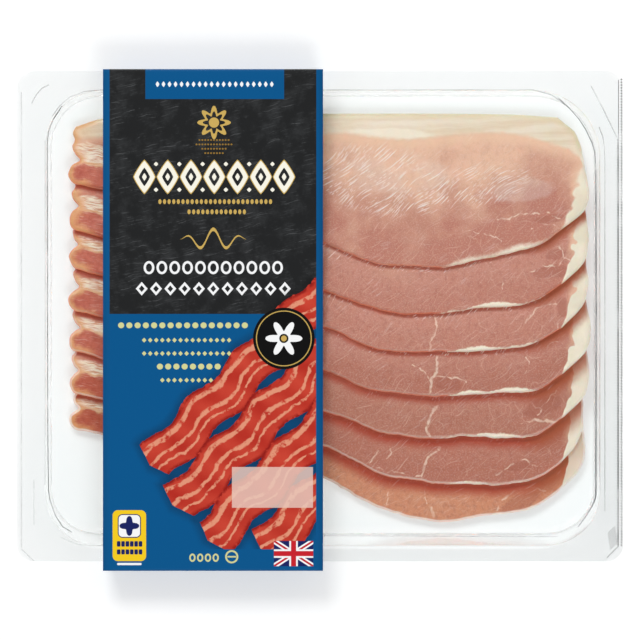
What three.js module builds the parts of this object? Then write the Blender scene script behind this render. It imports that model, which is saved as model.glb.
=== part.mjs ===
// A shut retail pack of back bacon: a clear formed tray with its lidding film, seven shingled
// rashers inside, and a printed card sleeve folded round the tray.
// Millimetres. +Z up, X along the rashers, Y across them, origin under the middle of the pack.
import * as THREE from "three";

// Tray
const trayLength = 250;
const flangeFront = -99.6; // Y of the flange's two long edges: the tray sits high in its loose sleeve
const flangeBack = 102.7;
const flangeRadius = 7;
const flangeWidth = 9; // on average
const cavityLeft = -113; // the cavity's rim
const cavityRight = 115.4;
const cavityFront = -93;
const cavityBack = 94.5;
const cavityRadii = { backRight: 27, backLeft: 22.5, frontLeft: 20.5, frontRight: 21.5 };
const cavityDepth = 15;
const wallDraft = THREE.MathUtils.degToRad(6);
const frontSlope = 3.6; // the front wall leans in this much further, from rim to floor
const wallThickness = 0.5;
const rimFillet = 1.3;
const baseFillet = 3;
const cornerSteps = 8;
const filletSteps = 3;

// Card sleeve
const sleeveLeft = -89.5;
const sleeveWidth = 90.75;
const sleeveHalfSpan = 103.5; // over the two folds beside the flange
const sleeveBaseHalfSpan = 94; // over the two folds beside the base
const cardThickness = 0.45;
const sleeveLip = 2.6; // upright strip beside the flange
const foldRadius = 1.1;
const foldSteps = 3;

// Film and the small gaps between touching pieces
const filmThickness = 0.2;
const filmInset = { left: 0.9, right: 1.6, ends: 0.2 }; // from the tray's edge
const filmCut = 5.2; // corners cut off at an angle
const touchGap = 0.3;
const sealGap = 0.05;

// Rashers
const rasherCount = 7;
const rasherThickness = 2.6;
const lapStep = 17.5; // how far each rasher lies in front of the one before it
const backLine = 85.8; // Y of the first rasher's fat edge
const layerGap = 0.3;
const bendSharpness = 12; // how quickly a rasher levels out over the last one below it
const tailDroop = 7.4; // how far the fat edge curves in at the tail
const tailDroopFrom = -55;
const rippleHeight = 0.35;
const rippleAlong = 17; // radians of the ripple are counted in these lengths
const rippleAcross = 13;
const rippleSkew = 40;
const edgeShare = 0.45; // thickness left at a rasher's rounded edge
const edgeBand = { along: 0.006, across: 0.02 }; // share of a rasher that its rounded edge takes up
const alongSteps = 30;
const acrossSteps = 7;

// How the seven rashers differ from the common outline, from the top of the pile to its bottom
const lapNudge = [0, -1.9, 0, -0.5, -0.2, -0.8, 0.3]; // away from an even lap
const lengthNudge = [0, 0, -0.6, 0.4, 0.2, -2, -1.6];
const cornerFullness = [0, 3.2, 6, 7, 8.5, 9.8, 4.5]; // fuller front corner at the eye
const waistSlimming = [0, 0, 0, 0.3, 1, 4.2, 7.2]; // narrower between tail and eye
const fullFrom = 49; // X where the fuller corner begins, and where it is complete
const fullTo = 98;
const slimUntil = 2; // X where the slimmer waist starts to fade, and where it has gone
const slimGone = 50;
const slimAtTail = 0.4;
const edgeWave = 0.35; // unevenness of the cut outline
const wavesAlong = [31, 57];
const wavesAcross = 9;
const waveShift = [2.1, 1.3, 1.7]; // phase from one rasher to the next

// A rasher's outline as four sides from tail to eye and from front to back. Y 0 is its fat edge.
const frontEdge = [[-102.3, -28], [-89.5, -32.2], [-45, -42], [1.6, -54], [16.4, -60], [25, -62.7],
  [51, -63.5], [65.2, -61], [74.7, -59.2], [89, -55.3], [100.8, -47.7]];
const fatEdge = [[-101.9, -7.4], [-89.5, -2.6], [-49.5, -0.4], [2, 0], [53.6, 0], [82.5, -0.5], [98.6, -1.6]];
const tailEnd = [[-102.3, -28], [-103.5, -24.4], [-99.8, -20], [-102.6, -15.7], [-101.9, -7.4]];
const eyeEnd = [[100.8, -47.7], [109.3, -40.3], [111.6, -33.4], [110.3, -22.5], [106.4, -9], [98.6, -1.6]];

// Heights, from the floor up
const trayBottom = cardThickness + touchGap;
const trayFloor = trayBottom + wallThickness;
const flangeTop = trayFloor + cavityDepth;
const filmBottom = flangeTop + sealGap;
const sleeveTop = filmBottom + filmThickness + touchGap + cardThickness;

function finish(colour, roughness, opacity = 1) {
  return new THREE.MeshStandardMaterial({
    color: colour,
    roughness,
    metalness: 0,
    opacity,
    transparent: opacity < 1,
  });
}

const materials = {
  clearPlastic: finish(0xf2f5f6, 0.08, 0.25),
  clearFilm: finish(0xffffff, 0.05, 0.12),
  card: finish(0x00568c, 0.45),
  bacon: finish(0xc98b78, 0.38),
};

function named(name, geometry, material) {
  const mesh = new THREE.Mesh(geometry, material);
  mesh.name = name;
  return mesh;
}

function indexed(points, faces) {
  const geometry = new THREE.BufferGeometry();
  geometry.setAttribute("position", new THREE.Float32BufferAttribute(points.flat(), 3));
  geometry.setIndex(faces.flat());
  geometry.computeVertexNormals();
  return geometry;
}

// A closed ring of points with four corner radii, anticlockwise from the back right corner.
function cornerRing(left, right, front, back, radii, z) {
  const corners = [
    [right, back, radii.backRight, 0],
    [left, back, radii.backLeft, 1],
    [left, front, radii.frontLeft, 2],
    [right, front, radii.frontRight, 3],
  ];
  return corners.flatMap(([x, y, radius, quarter]) => {
    const centreX = x - Math.sign(x) * radius;
    const centreY = y - Math.sign(y) * radius;
    return Array.from({ length: cornerSteps + 1 }, (_, i) => {
      const angle = (quarter + i / cornerSteps) * Math.PI / 2;
      return [centreX + radius * Math.cos(angle), centreY + radius * Math.sin(angle), z];
    });
  });
}

// A ring of the tray: set out from the cavity's rim by a distance (in, if negative), and then by a
// share of the flange's width.
function trayRing(outset, share, z) {
  const lerp = THREE.MathUtils.lerp;
  const radii = {};
  for (const corner of Object.keys(cavityRadii)) {
    radii[corner] = lerp(cavityRadii[corner] + outset, flangeRadius, share);
  }
  const slope = frontSlope * (flangeTop - z) / cavityDepth;
  return cornerRing(
    lerp(cavityLeft - outset, -trayLength / 2, share),
    lerp(cavityRight + outset, trayLength / 2, share),
    lerp(cavityFront - outset + slope, flangeFront, share),
    lerp(cavityBack + outset, flangeBack, share),
    radii,
    z,
  );
}

function arc(centreX, centreZ, radius, from, to) {
  return Array.from({ length: filletSteps + 1 }, (_, i) => {
    const angle = THREE.MathUtils.lerp(from, to, i / filletSteps);
    return [centreX + radius * Math.cos(angle), centreZ + radius * Math.sin(angle)];
  });
}

// One face of the tray's wall, from the floor up to the rim. Both faces share their fillets' centres.
function wallProfile(offset) {
  const rimCentre = [rimFillet, flangeTop - rimFillet];
  const rimFoot = flangeTop - rimFillet * (1 - Math.sin(wallDraft));
  const baseHead = trayFloor + baseFillet * (1 - Math.sin(wallDraft));
  const wallRun = (rimFoot - baseHead) * Math.tan(wallDraft);
  const wallBack = rimFillet * (1 - Math.cos(wallDraft)) - wallRun;
  const baseCentre = [wallBack - baseFillet * Math.cos(wallDraft), trayFloor + baseFillet];
  return [
    ...arc(...baseCentre, baseFillet + offset, -Math.PI / 2, -wallDraft),
    ...arc(...rimCentre, rimFillet - offset, Math.PI - wallDraft, Math.PI / 2),
  ];
}

function trayFace(offset) {
  const wall = wallProfile(offset).map(([outset, height]) => {
    return trayRing(Math.min(outset, 0), Math.max(outset, 0) / flangeWidth, height);
  });
  return [...wall, trayRing(0, 1, flangeTop - offset)];
}

function tray() {
  const rings = [...trayFace(0), ...trayFace(wallThickness).reverse()];
  const around = rings[0].length;
  const points = rings.flat();
  const faces = [];
  for (let r = 0; r + 1 < rings.length; r++) {
    for (let i = 0; i < around; i++) {
      const next = (i + 1) % around;
      const a = r * around;
      const b = a + around;
      faces.push([a + i, b + i, a + next], [a + next, b + i, b + next]);
    }
  }
  const last = (rings.length - 1) * around;
  for (let i = 1; i + 1 < around; i++) {
    faces.push([0, i, i + 1], [last + i + 1, last + i, last]);
  }
  return indexed(points, faces);
}

function lidFilm() {
  const left = filmInset.left - trayLength / 2;
  const right = trayLength / 2 - filmInset.right;
  const front = flangeFront + filmInset.ends;
  const back = flangeBack - filmInset.ends;
  const outline = new THREE.Shape([
    new THREE.Vector2(left + filmCut, front),
    new THREE.Vector2(right - filmCut, front),
    new THREE.Vector2(right, front + filmCut),
    new THREE.Vector2(right, back - filmCut),
    new THREE.Vector2(right - filmCut, back),
    new THREE.Vector2(left + filmCut, back),
    new THREE.Vector2(left, back - filmCut),
    new THREE.Vector2(left, front + filmCut),
  ]);
  const plate = new THREE.ExtrudeGeometry(outline, { depth: filmThickness, bevelEnabled: false });
  return plate.translate(0, 0, filmBottom);
}

// The sleeve's section, seen along X: a flat top, an upright lip beside the flange, a side that leans
// in to the base, and a flat bottom. Each fold is rounded.
function sleeveSection(path, inset) {
  const lean = (sleeveHalfSpan - sleeveBaseHalfSpan) / (sleeveTop - sleeveLip);
  const side = inset * Math.hypot(1, lean);
  const lipFoot = sleeveTop - sleeveLip;
  const folds = [
    [sleeveHalfSpan - inset, sleeveTop - inset],
    [sleeveHalfSpan - inset, lipFoot + (side - inset) / lean],
    [sleeveBaseHalfSpan + lean * inset - side, inset],
  ];
  const corners = [
    ...folds.map(([y, z]) => [-y, z]),
    ...folds.reverse(),
  ].map(([y, z]) => new THREE.Vector2(y, z));
  const radius = foldRadius - inset;
  corners.forEach((corner, i) => {
    const before = corners.at(i - 1).clone().sub(corner).setLength(radius).add(corner);
    const after = corners[(i + 1) % corners.length].clone().sub(corner).setLength(radius).add(corner);
    if (i === 0) path.moveTo(before.x, before.y);
    else path.lineTo(before.x, before.y);
    path.quadraticCurveTo(corner.x, corner.y, after.x, after.y);
  });
  path.closePath();
  return path;
}

function sleeve() {
  const section = sleeveSection(new THREE.Shape(), 0);
  section.holes.push(sleeveSection(new THREE.Path(), cardThickness));
  const tube = new THREE.ExtrudeGeometry(section, {
    depth: sleeveWidth,
    bevelEnabled: false,
    curveSegments: foldSteps,
  });
  const along = new THREE.Matrix4().makeBasis(
    new THREE.Vector3(0, 1, 0),
    new THREE.Vector3(0, 0, 1),
    new THREE.Vector3(1, 0, 0),
  );
  return tube.applyMatrix4(along).translate(sleeveLeft, 0, 0);
}

function curveThrough(points) {
  return new THREE.CatmullRomCurve3(points.map(([x, y]) => new THREE.Vector3(x, y, 0)), false, "centripetal");
}

const sides = {
  front: curveThrough(frontEdge),
  fat: curveThrough(fatEdge),
  tail: curveThrough(tailEnd),
  eye: curveThrough(eyeEnd),
};

// A point of the rasher's plan: its four sides blended into one patch.
function planPoint(u, v) {
  const front = sides.front.getPointAt(u);
  const fat = sides.fat.getPointAt(u);
  const tail = sides.tail.getPointAt(v);
  const eye = sides.eye.getPointAt(v);
  return ["x", "y"].map((axis, n) => {
    const ruled = (1 - v) * front[axis] + v * fat[axis] + (1 - u) * tail[axis] + u * eye[axis];
    const frontChord = THREE.MathUtils.lerp(frontEdge.at(0)[n], frontEdge.at(-1)[n], u);
    const fatChord = THREE.MathUtils.lerp(fatEdge.at(0)[n], fatEdge.at(-1)[n], u);
    return ruled - THREE.MathUtils.lerp(frontChord, fatChord, v);
  });
}

// Steps from 0 to 1 with a narrow first and last one for the rounded edge.
function stepsOf(count, narrow) {
  const inner = Array.from({ length: count + 1 }, (_, i) => narrow + (1 - 2 * narrow) * i / count);
  return [0, ...inner, 1];
}

function softLeast(a, b) {
  return -Math.log(Math.exp(-bendSharpness * a) + Math.exp(-bendSharpness * b)) / bendSharpness;
}

function fatEdgeDroop(x) {
  return tailDroop * Math.max(0, (tailDroopFrom - x) / (tailDroopFrom - frontEdge[0][0])) ** 2;
}

// Height of a rasher's underside: it climbs one layer for each lap until no rasher is left under it.
function undersideAt(index, x, y) {
  const laps = (backLine - fatEdgeDroop(x) - lapStep * index - y) / lapStep;
  const layers = softLeast(laps, rasherCount - 1 - index);
  const wave = Math.sin(x / rippleAlong) * Math.cos(y / rippleAcross + x / rippleSkew);
  const ripple = rippleHeight * (1 + wave) / 2;
  return trayFloor + touchGap + layers * (rasherThickness + layerGap) + ripple;
}

// How far a point of one rasher lies from the common outline, most at its front edge.
function strayOf(index, u, v, x) {
  const smooth = THREE.MathUtils.smoothstep;
  const full = cornerFullness[index] * smooth(x, fullFrom, fullTo);
  const towardsTail = THREE.MathUtils.lerp(slimAtTail, 1, smooth(x, frontEdge[0][0], 0));
  const slim = waistSlimming[index] * towardsTail * (1 - smooth(x, slimUntil, slimGone));
  const wave = Math.sin(u * wavesAlong[0] + index * waveShift[0])
    + Math.sin(u * wavesAlong[1] - index * waveShift[1]) / 2;
  const lobes = Math.sin(v * wavesAcross + index * waveShift[2]);
  return [
    lobes * (2 * u - 1) * edgeWave + lengthNudge[index] * u,
    (wave * edgeWave + slim - full) * (1 - v) + lapNudge[index],
  ];
}

function rasher(index) {
  const along = stepsOf(alongSteps, edgeBand.along);
  const across = stepsOf(acrossSteps, edgeBand.across);
  const columns = along.length;
  const rows = across.length;
  const lower = [];
  const upper = [];
  across.forEach((v, row) => {
    along.forEach((u, column) => {
      const [planX, planY] = planPoint(u, v);
      const [strayX, strayY] = strayOf(index, u, v, planX);
      const x = planX + strayX;
      const y = planY + strayY + backLine - lapStep * index;
      const onEdge = row === 0 || row === rows - 1 || column === 0 || column === columns - 1;
      const half = rasherThickness / 2 * (onEdge ? edgeShare : 1);
      const middle = undersideAt(index, x, y) + rasherThickness / 2;
      lower.push([x, y, middle - half]);
      upper.push([x, y, middle + half]);
    });
  });
  const size = columns * rows;
  const faces = [];
  const quad = (a, b, c, d) => faces.push([a, b, c], [a, c, d]);
  for (let row = 0; row + 1 < rows; row++) {
    for (let column = 0; column + 1 < columns; column++) {
      const a = row * columns + column;
      quad(a, a + columns, a + columns + 1, a + 1);
      quad(size + a, size + a + 1, size + a + columns + 1, size + a + columns);
    }
  }
  const rim = [
    ...Array.from({ length: columns - 1 }, (_, i) => i),
    ...Array.from({ length: rows - 1 }, (_, i) => i * columns + columns - 1),
    ...Array.from({ length: columns - 1 }, (_, i) => size - 1 - i),
    ...Array.from({ length: rows - 1 }, (_, i) => size - columns - i * columns),
  ];
  rim.forEach((a, i) => {
    const b = rim[(i + 1) % rim.length];
    quad(a, b, size + b, size + a);
  });
  return indexed([...lower, ...upper], faces);
}

const pack = new THREE.Group();
pack.add(named("tray", tray(), materials.clearPlastic));
pack.add(named("lid_film", lidFilm(), materials.clearFilm));
pack.add(named("sleeve", sleeve(), materials.card));
for (let index = 0; index < rasherCount; index++) {
  pack.add(named(`rasher_${index + 1}`, rasher(index), materials.bacon));
}

export default pack;
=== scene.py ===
import math

import bpy
import numpy as np
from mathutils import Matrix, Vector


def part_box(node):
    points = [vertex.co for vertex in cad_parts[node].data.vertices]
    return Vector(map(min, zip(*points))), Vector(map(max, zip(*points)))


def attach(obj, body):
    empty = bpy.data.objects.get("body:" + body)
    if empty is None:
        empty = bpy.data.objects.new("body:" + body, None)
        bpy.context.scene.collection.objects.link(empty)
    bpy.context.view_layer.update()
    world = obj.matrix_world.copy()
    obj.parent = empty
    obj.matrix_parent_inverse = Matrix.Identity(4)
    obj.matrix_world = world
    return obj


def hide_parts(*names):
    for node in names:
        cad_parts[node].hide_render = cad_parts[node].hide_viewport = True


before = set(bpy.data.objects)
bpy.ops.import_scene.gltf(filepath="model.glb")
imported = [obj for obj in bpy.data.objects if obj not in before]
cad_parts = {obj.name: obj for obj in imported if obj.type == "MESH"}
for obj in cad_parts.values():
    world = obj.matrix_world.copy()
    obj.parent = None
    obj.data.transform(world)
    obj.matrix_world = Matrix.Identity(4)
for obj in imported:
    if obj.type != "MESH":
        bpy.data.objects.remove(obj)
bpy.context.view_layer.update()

# A shut retail pack of back bacon that lies on a pale floor, seen from straight above.
# Lengths are written in millimetres and turned into metres when a mesh is made.
mm = 0.001
scene = bpy.context.scene


# Signals: values in a node tree that can be added, multiplied and shaped
class Signal:
    def __init__(self, tree, socket):
        self.tree = tree
        self.socket = socket

    def calc(self, operation, *others, clamp=False):
        inputs = dict(enumerate((self, *others)))
        return newNode(self.tree, "Math", inputs, operation=operation, use_clamp=clamp)

    def vector(self, operation, *others, scale=None, output=0):
        inputs = dict(enumerate((self, *others)))
        if scale is not None:
            inputs["Scale"] = scale
        return newNode(self.tree, "VectorMath", inputs, output, operation=operation)

    def smooth(self, low, high):
        return newNode(self.tree, "MapRange", {0: self, 1: low, 2: high}, interpolation_type="SMOOTHSTEP")

    def __add__(self, other):
        return self.calc("ADD", other)

    def __sub__(self, other):
        return self.calc("SUBTRACT", other)

    def __mul__(self, other):
        return self.calc("MULTIPLY", other)

    def __truediv__(self, other):
        return self.calc("DIVIDE", other)

    def __abs__(self):
        return self.calc("ABSOLUTE")

    def reverse(self):
        return (self * -1) + 1

    def atLeast(self, other):
        return self.calc("MAXIMUM", other)

    def atMost(self, other):
        return self.calc("MINIMUM", other)

    def clamped(self):
        return self.calc("ADD", 0.0, clamp=True)


# A pair of numbers is a point or a reach in the plan, and gets 0 as its height
def feed(socket, value):
    if isinstance(value, Signal):
        value.tree.links.new(value.socket, socket)
    elif isinstance(value, tuple) and len(value) == 2:
        socket.default_value = (*value, 0.0)
    else:
        socket.default_value = value


def newNode(tree, kind, inputs, output=0, **settings):
    node = tree.nodes.new("ShaderNode" + kind)
    for label, value in settings.items():
        setattr(node, label, value)
    for label, value in inputs.items():
        feed(node.inputs[label], value)
    return Signal(tree, node.outputs[output])


vectorInputs = ("At", "Start", "Reach", "Centre", "Radii", "Size")


# A node group of a place and the labelled inputs, with a mask as its output
def makeGroup(name, build, *labels):
    tree = bpy.data.node_groups.new(name, "ShaderNodeTree")
    for label in ("At", *labels):
        kind = "Vector" if label in vectorInputs else "Float"
        tree.interface.new_socket(label, in_out="INPUT", socket_type="NodeSocket" + kind)
    tree.interface.new_socket("Mask", in_out="OUTPUT", socket_type="NodeSocketFloat")
    entry = tree.nodes.new("NodeGroupInput")
    result = build(*[Signal(tree, entry.outputs[label]) for label in ("At", *labels)])
    tree.links.new(result.socket, tree.nodes.new("NodeGroupOutput").inputs["Mask"])
    return tree


# Uses a group, its values given in the order of its inputs
def place(group, at, *values):
    return newNode(at.tree, "Group", dict(enumerate((at, *values))), node_tree=group)


seedStep = 61.7  # millimetres between the patches of noise of two seeds


# Noise over x and y, or over all three axes where deep is asked for
def noise(at, size, detail=2.0, roughness=0.5, seed=0.0, deep=False, output=0):
    shifted = at.vector("ADD", (seed * seedStep, seed * seedStep))
    inputs = {"Vector": shifted, "Scale": 1 / size, "Detail": detail, "Roughness": roughness}
    return newNode(at.tree, "TexNoise", inputs, output, noise_dimensions="3D" if deep else "2D")


# Coordinates shifted here and there by up to about half the reach, in patches of the given size
def warped(at, size, reach, seed=0.0, detail=2.0):
    drift = noise(at, size, detail=detail, seed=seed, output="Color").vector("SUBTRACT", (0.5, 0.5, 0.5))
    return at.vector("ADD", drift.vector("SCALE", scale=reach))


def joined(x, y):
    return newNode(x.tree, "CombineXYZ", {0: x, 1: y})


def parted(vector):
    node = newNode(vector.tree, "SeparateXYZ", {0: vector}).socket.node
    return [Signal(vector.tree, socket) for socket in node.outputs]


# How far a place lies along and across a direction in the plan
def turned(at, turn):
    x, y, _ = parted(at)
    cosine = turn.calc("COSINE")
    sine = turn.calc("SINE")
    return x * cosine + y * sine, y * cosine - x * sine


def attribute(tree, name):
    return newNode(tree, "Attribute", {}, "Fac", attribute_name=name)


def blended(share, first, second):
    return newNode(share.tree, "Mix", {0: share, 6: first, 7: second}, 2, data_type="RGBA")


# A colour under layers, each given as its share and its colour
def layered(colour, *layers):
    for share, tone in layers:
        colour = blended(share, colour, tone)
    return colour


def bump(height, distance):
    return newNode(height.tree, "Bump", {"Strength": 1.0, "Distance": distance * mm, "Height": height})


def paint(red, green, blue):
    share = np.array([red, green, blue]) / 255
    linear = np.where(share <= 0.04045, share / 12.92, ((share + 0.055) / 1.055) ** 2.4)
    return (*linear.tolist(), 1.0)


# A new material, with the place in millimetres for its textures
def newMaterial(name):
    material = bpy.data.materials.new(name)
    material.use_nodes = True
    return material, newNode(material.node_tree, "TexCoord", {}, "Object").vector("SCALE", scale=1 / mm)


def dress(material, inputs):
    shader = material.node_tree.nodes["Principled BSDF"]
    for label, value in inputs.items():
        feed(shader.inputs[label], value)
    return material


# Meshes
def makePiece(name, points, faces, materials, faceMaterials=None, attributes=None, smooth=True):
    mesh = bpy.data.meshes.new(name)
    mesh.from_pydata((np.asarray(points, float) * mm).tolist(), [], faces)
    for material in materials:
        mesh.materials.append(material)
    if faceMaterials is not None:
        mesh.polygons.foreach_set("material_index", faceMaterials)
    for label, values in (attributes or {}).items():
        layer = mesh.attributes.new(label, "FLOAT", "POINT")
        layer.data.foreach_set("value", np.asarray(values, np.float32))
    mesh.polygons.foreach_set("use_smooth", [smooth] * len(mesh.polygons))
    mesh.update()
    piece = bpy.data.objects.new(name, mesh)
    scene.collection.objects.link(piece)
    return piece


def finishPiece(piece, slotName, *nodes):
    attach(piece, "root")
    if nodes:
        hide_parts(*nodes)


# Joins rings of equally many points into bands of quads, round after round.
def ringBands(count, around, closed):
    faces = []
    for ring in range(count if closed else count - 1):
        low = ring * around
        high = (ring + 1) % count * around
        for i in range(around):
            after = (i + 1) % around
            faces.append((low + i, high + i, high + after, low + after))
    return faces


# Clear plastic: light passes straight through to what lies under it. Solid is how much of its own
# bending and shine shows, at the pale back left and at the greyer front right of the pack. Its tint is a
# painted shade: greyer towards the front right, and paler inside the flange than on it.
trayLook = {
    "tint": (paint(231, 232, 232), paint(223, 224, 224)),
    "inner": paint(248, 249, 249),
    "solid": (0.42, 0.55),
    "index": 1.2,
    "roughness": 0.03,
    "waviness": 45,  # length of the faint waves left by forming
}
filmLook = {
    "tint": (paint(252, 253, 253), paint(249, 250, 250)),
    "inner": paint(252, 253, 253),
    "solid": (0.6, 0.8),
    "index": 1.12,
    "roughness": 0.02,
    "waviness": 60,
}
clearLook = {
    "slant": 0.6,  # how much the way from back left to front right goes along x
    "shadeFrom": (-70, 175),  # millimetres along that way
    "paler": (113, 94, 24),  # half width, half height and corner of the paler part inside the flange
    "palerEdge": (-0.5, 1.2),
    "waveShare": 0.005,  # height of a wave to its length
    "clouds": 6,  # patches of haze to a wave
    "haze": 0.04,
    "lightTint": paint(253, 254, 254),
}


def clearMaterial(name, look):
    material, at = newMaterial(name)
    tree = at.tree
    x, y, _ = parted(at)
    halfX, halfY, corner = clearLook["paler"]
    pastX = (abs(x) - (halfX - corner)).atLeast(0.0)
    pastY = (abs(y) - (halfY - corner)).atLeast(0.0)
    past = (pastX * pastX + pastY * pastY).calc("SQRT")
    # Painted shade: the tint is paler inside the flange, and greys from the back left to the front right
    outside = past.smooth(*[corner + edge for edge in clearLook["palerEdge"]])
    shadeShare = (x * clearLook["slant"] - y).smooth(*clearLook["shadeFrom"])
    waves = noise(at, look["waviness"], detail=1.0)
    clouded = noise(at, look["waviness"] / clearLook["clouds"], detail=3.0).smooth(0.5, 0.75)
    start, end = look["solid"]
    dress(material, {
        "Base Color": blended(outside, look["inner"], blended(shadeShare, *look["tint"])),
        "Alpha": shadeShare * (end - start) + start,
        "Roughness": clouded * clearLook["haze"] + look["roughness"],
        "Normal": bump(waves, look["waviness"] * clearLook["waveShare"]),
        "IOR": look["index"],
        "Transmission Weight": 1.0,
    })
    shadowRay = newNode(tree, "LightPath", {}, "Is Shadow Ray")
    bare = shadowRay.atLeast(Signal(tree, shadowRay.socket.node.outputs["Is Diffuse Ray"]))
    through = newNode(tree, "BsdfTransparent", {"Color": clearLook["lightTint"]})
    plastic = Signal(tree, tree.nodes["Principled BSDF"].outputs[0])
    mixed = newNode(tree, "MixShader", {0: bare, 1: plastic, 2: through})
    feed(tree.nodes["Material Output"].inputs["Surface"], mixed)
    return material


trayPlastic = clearMaterial("clearTrayPlastic", trayLook)
lidPlastic = clearMaterial("clearLidFilm", filmLook)

# Tray
trayLow, trayHigh = [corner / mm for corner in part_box("tray")]
traySizes = {
    "rim": (-113, 115.4, -93, 94.5),  # left, right, front, back
    "radii": (27, 22.5, 20.5, 21.5),  # back right, back left, front left, front right
    "flangeRadius": 7,
    "flangeWidth": 9,
    "wall": 0.5,
    "draft": math.radians(6),
    "frontSlope": 3.6,
    "rimFillet": 1.3,
    "baseFillet": 3,
    "cornerSteps": 28,
    "filletSteps": 9,
}
# Across the flange: share of its width, and how far it dips there
flangeProfile = [(0.12, 0), (0.16, 0.3), (0.21, 1), (0.26, 0.3), (0.3, 0), (0.9, 0), (0.965, 0.25), (1, 0.9)]
grooveDepths = {"right": 0.3, "left": 0.06}


def cornerRing(sides, radii, heights):
    left, right, front, back = sides
    corners = [(right, back), (left, back), (left, front), (right, front)]
    points = []
    for quarter, ((x, y), radius) in enumerate(zip(corners, radii)):
        angles = (quarter + np.linspace(0, 1, traySizes["cornerSteps"] + 1)) * math.pi / 2
        xs = x - math.copysign(radius, x) + radius * np.cos(angles)
        ys = y - math.copysign(radius, y) + radius * np.sin(angles)
        points.append(np.stack([xs, ys, np.full_like(xs, heights[0 if x > 0 else 1])], 1))
    return np.concatenate(points)


def trayRing(outset, share, height, dip=0):
    left, right, front, back = traySizes["rim"]
    rim = np.array([left - outset, right + outset, front - outset, back + outset])
    depth = trayHigh.z - trayLow.z - traySizes["wall"]
    rim[2] += traySizes["frontSlope"] * (trayHigh.z - height) / depth
    edge = np.array([trayLow.x, trayHigh.x, trayLow.y, trayHigh.y])
    radii = np.array(traySizes["radii"]) + outset
    radii = radii + (traySizes["flangeRadius"] - radii) * share
    heights = [height - dip * grooveDepths["right"], height - dip * grooveDepths["left"]]
    return cornerRing(rim + (edge - rim) * share, radii, heights)


def arcPoints(centre, radius, start, end):
    angles = np.linspace(start, end, traySizes["filletSteps"] + 1)
    return [(centre[0] + radius * math.cos(a), centre[1] + radius * math.sin(a)) for a in angles]


def trayFace(offset):
    draft = traySizes["draft"]
    rimFillet = traySizes["rimFillet"]
    baseFillet = traySizes["baseFillet"]
    floor = trayLow.z + traySizes["wall"]
    rimFoot = trayHigh.z - rimFillet * (1 - math.sin(draft))
    baseHead = floor + baseFillet * (1 - math.sin(draft))
    wallBack = rimFillet * (1 - math.cos(draft)) - (rimFoot - baseHead) * math.tan(draft)
    baseCentre = (wallBack - baseFillet * math.cos(draft), floor + baseFillet)
    rimCentre = (rimFillet, trayHigh.z - rimFillet)
    wall = arcPoints(baseCentre, baseFillet + offset, -math.pi / 2, -draft)
    wall += arcPoints(rimCentre, rimFillet - offset, math.pi - draft, math.pi / 2)
    rings = [trayRing(min(out, 0), max(out, 0) / traySizes["flangeWidth"], z) for out, z in wall]
    outermost = max(wall[-1][0], 0) / traySizes["flangeWidth"]
    for share, dip in flangeProfile:
        if share > outermost:
            rings.append(trayRing(0, share, trayHigh.z - offset, dip))
    return rings


def makeTray():
    upper = trayFace(0)
    lower = trayFace(traySizes["wall"])
    rings = upper + lower[::-1]
    around = len(rings[0])
    faces = ringBands(len(rings), around, closed=False)
    last = (len(rings) - 1) * around
    faces.append(tuple(range(around)))
    faces.append(tuple(last + i for i in reversed(range(around))))
    flipped = [face[::-1] for face in faces[:-2]]
    piece = makePiece("clearTray", np.concatenate(rings), flipped + faces[-2:], [trayPlastic])
    finishPiece(piece, "clear_plastic", "tray")


makeTray()
print("tray made")

# Lidding film: a thin sheet with its corners cut off, very slightly wavy
filmLow, filmHigh = [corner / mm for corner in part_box("lid_film")]
filmSizes = {"cut": 5.2, "columns": 120, "rows": 90, "thickness": 0.1, "wave": 0.035, "waveLength": 38}


def gentleWave(x, y, length, seed, count=7):
    rng = np.random.default_rng(seed)
    total = np.zeros_like(x)
    for _ in range(count):
        angle = rng.uniform(0, 2 * math.pi)
        turns = 2 * math.pi / (length * rng.uniform(0.7, 1.5))
        total += np.sin((x * math.cos(angle) + y * math.sin(angle)) * turns + rng.uniform(0, 2 * math.pi))
    return total / math.sqrt(count / 2) / 2


def gridFaces(rows, columns, low, high):
    faces = []
    for row in range(rows - 1):
        for column in range(columns - 1):
            a = row * columns + column
            b = a + columns
            faces.append((high[a], high[a + 1], high[b + 1], high[b]))
            faces.append((low[a], low[b], low[b + 1], low[a + 1]))
    return faces


# The outermost entries of a grid, once round
def rimOf(grid):
    return np.concatenate([grid[0, :-1], grid[:-1, -1], grid[-1, :0:-1], grid[:0:-1, 0]])


def makeFilm():
    rows = filmSizes["rows"]
    columns = filmSizes["columns"]
    cut = filmSizes["cut"]
    ys = np.concatenate([
        np.linspace(filmLow.y, filmLow.y + cut, 4)[:-1],
        np.linspace(filmLow.y + cut, filmHigh.y - cut, rows - 6),
        np.linspace(filmHigh.y - cut, filmHigh.y, 4)[1:],
    ])
    intoCut = np.maximum(0, np.maximum(filmLow.y + cut - ys, ys - filmHigh.y + cut))
    share = np.linspace(0, 1, columns)[None, :]
    left = (filmLow.x + intoCut)[:, None]
    right = (filmHigh.x - intoCut)[:, None]
    x = left + (right - left) * share
    y = np.repeat(ys[:, None], columns, 1)
    lift = filmSizes["wave"] * gentleWave(x, y, filmSizes["waveLength"], 5)
    middle = (filmLow.z + filmHigh.z) / 2 + lift
    lower = np.stack([x, y, middle - filmSizes["thickness"] / 2], 2).reshape(-1, 3)
    upper = np.stack([x, y, middle + filmSizes["thickness"] / 2], 2).reshape(-1, 3)
    size = rows * columns
    low = np.arange(size).tolist()
    high = (np.arange(size) + size).tolist()
    faces = gridFaces(rows, columns, low, high)
    rim = rimOf(np.arange(size).reshape(rows, columns)).tolist()
    for a, b in zip(rim, rim[1:] + rim[:1]):
        faces.append((low[a], low[b], high[b], high[a]))
    piece = makePiece("lidFilm", np.concatenate([lower, upper]), faces, [lidPlastic])
    finishPiece(piece, "clear_film", "lid_film")


makeFilm()
print("lidding film made")
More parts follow.
